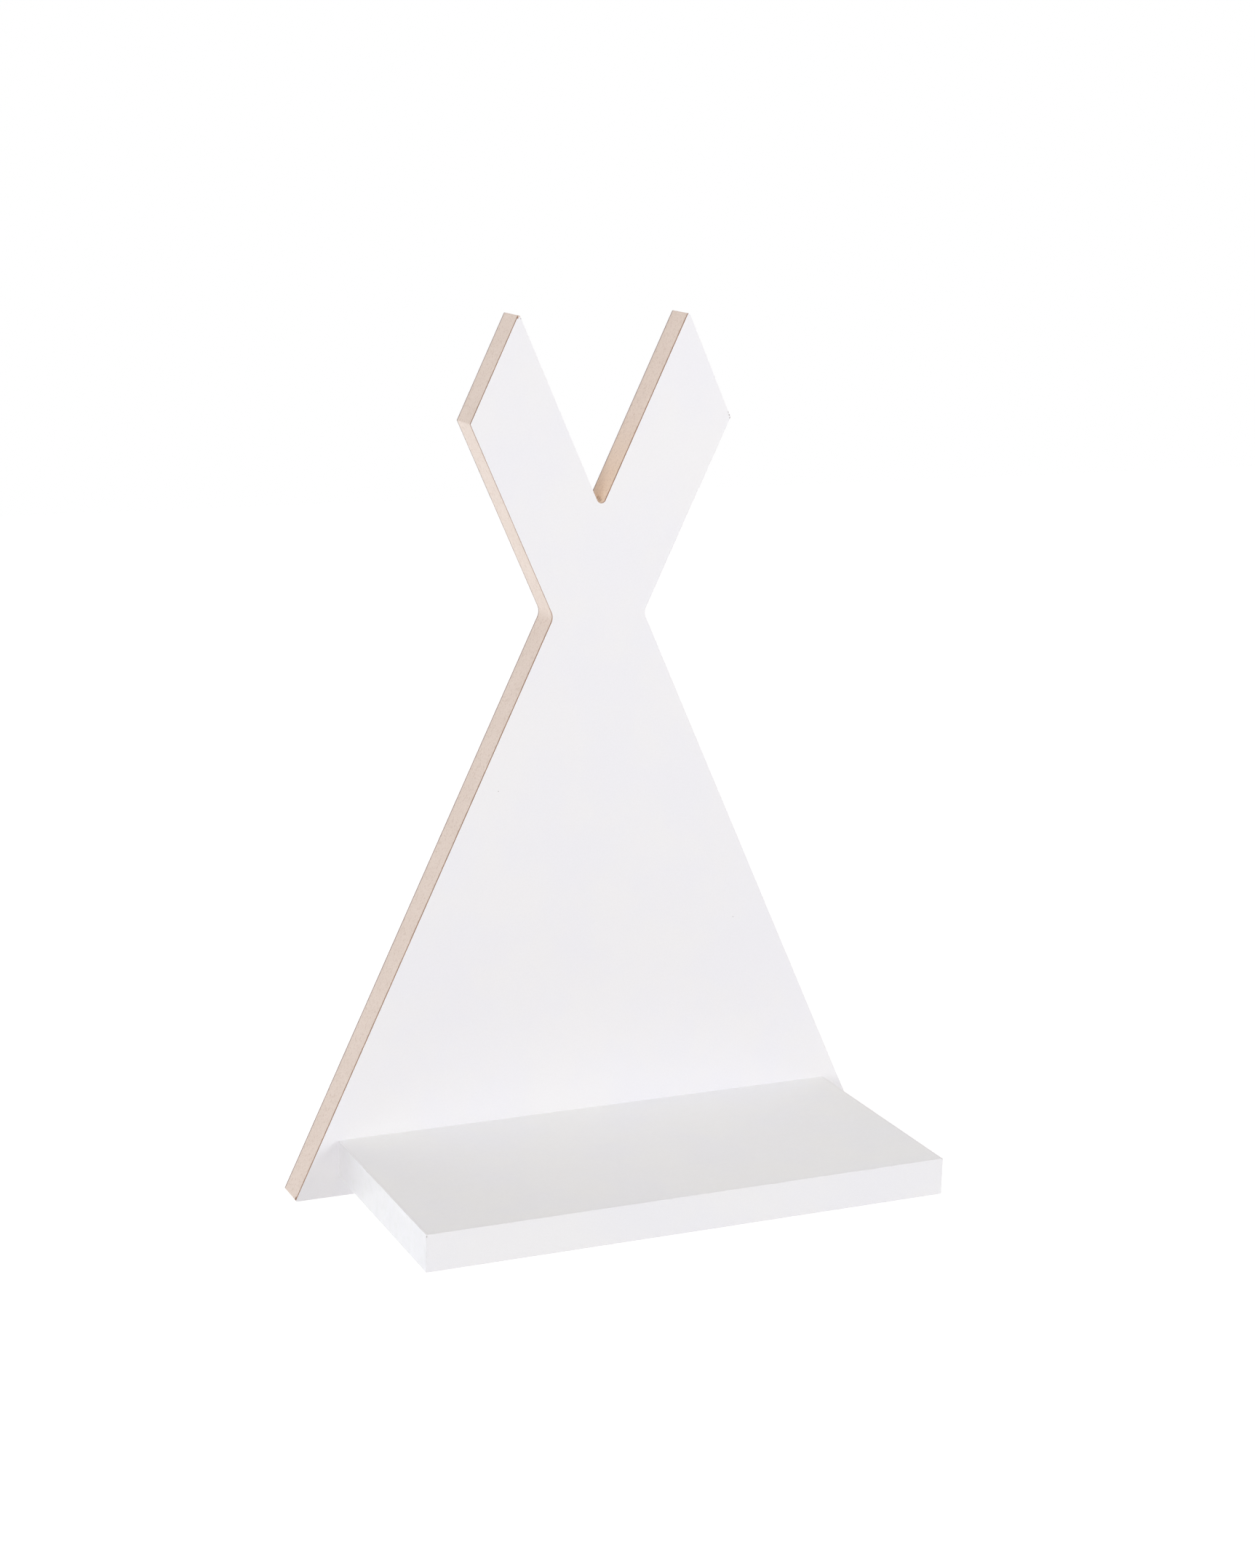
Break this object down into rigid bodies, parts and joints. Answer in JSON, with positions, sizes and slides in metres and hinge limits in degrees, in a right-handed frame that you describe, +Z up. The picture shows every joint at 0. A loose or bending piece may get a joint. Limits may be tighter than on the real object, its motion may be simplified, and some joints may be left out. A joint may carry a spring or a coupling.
{
  "type": "wall shelf",
  "caption": "Tent-shaped wall shelf: a flat white panel with raw fibreboard edges and crossed pole tips, carrying a plain white shelf board near its base.",
  "frame": {"origin": "on the wall plane, midway between the entry holes of the two keyhole plates", "axes": "+Z up, +Y into the wall, -Y out into the room, +X to the right of someone facing the shelf"},
  "size_m": [0.3044, 0.1415, 0.4192],
  "materials": {
    "fibreboard": "raw cut fibreboard, fine and dull",
    "white_facing": "satin white laminate, brown at its cut edge",
    "white_edging": "satin white edge strip",
    "beech": "fluted, unfinished",
    "zinc_steel": "bright zinc plated"
  },
  "bodies": {
    "root": {"back_panel": "fibreboard", "shelf_board": "fibreboard", "front_facing": "white_facing", "rear_facing": "white_facing", "shelf_top_facing": "white_facing", "shelf_underside_facing": "white_facing", "shelf_front_edging": "white_edging", "shelf_left_edging": "white_edging", "shelf_right_edging": "white_edging", "left_dowel": "beech", "right_dowel": "beech", "left_shelf_screw": "zinc_steel", "right_shelf_screw": "zinc_steel", "left_hanger_plate": "zinc_steel", "right_hanger_plate": "zinc_steel", "left_hanger_screws": "zinc_steel", "right_hanger_screws": "zinc_steel"}
  },
  "joints": []
}
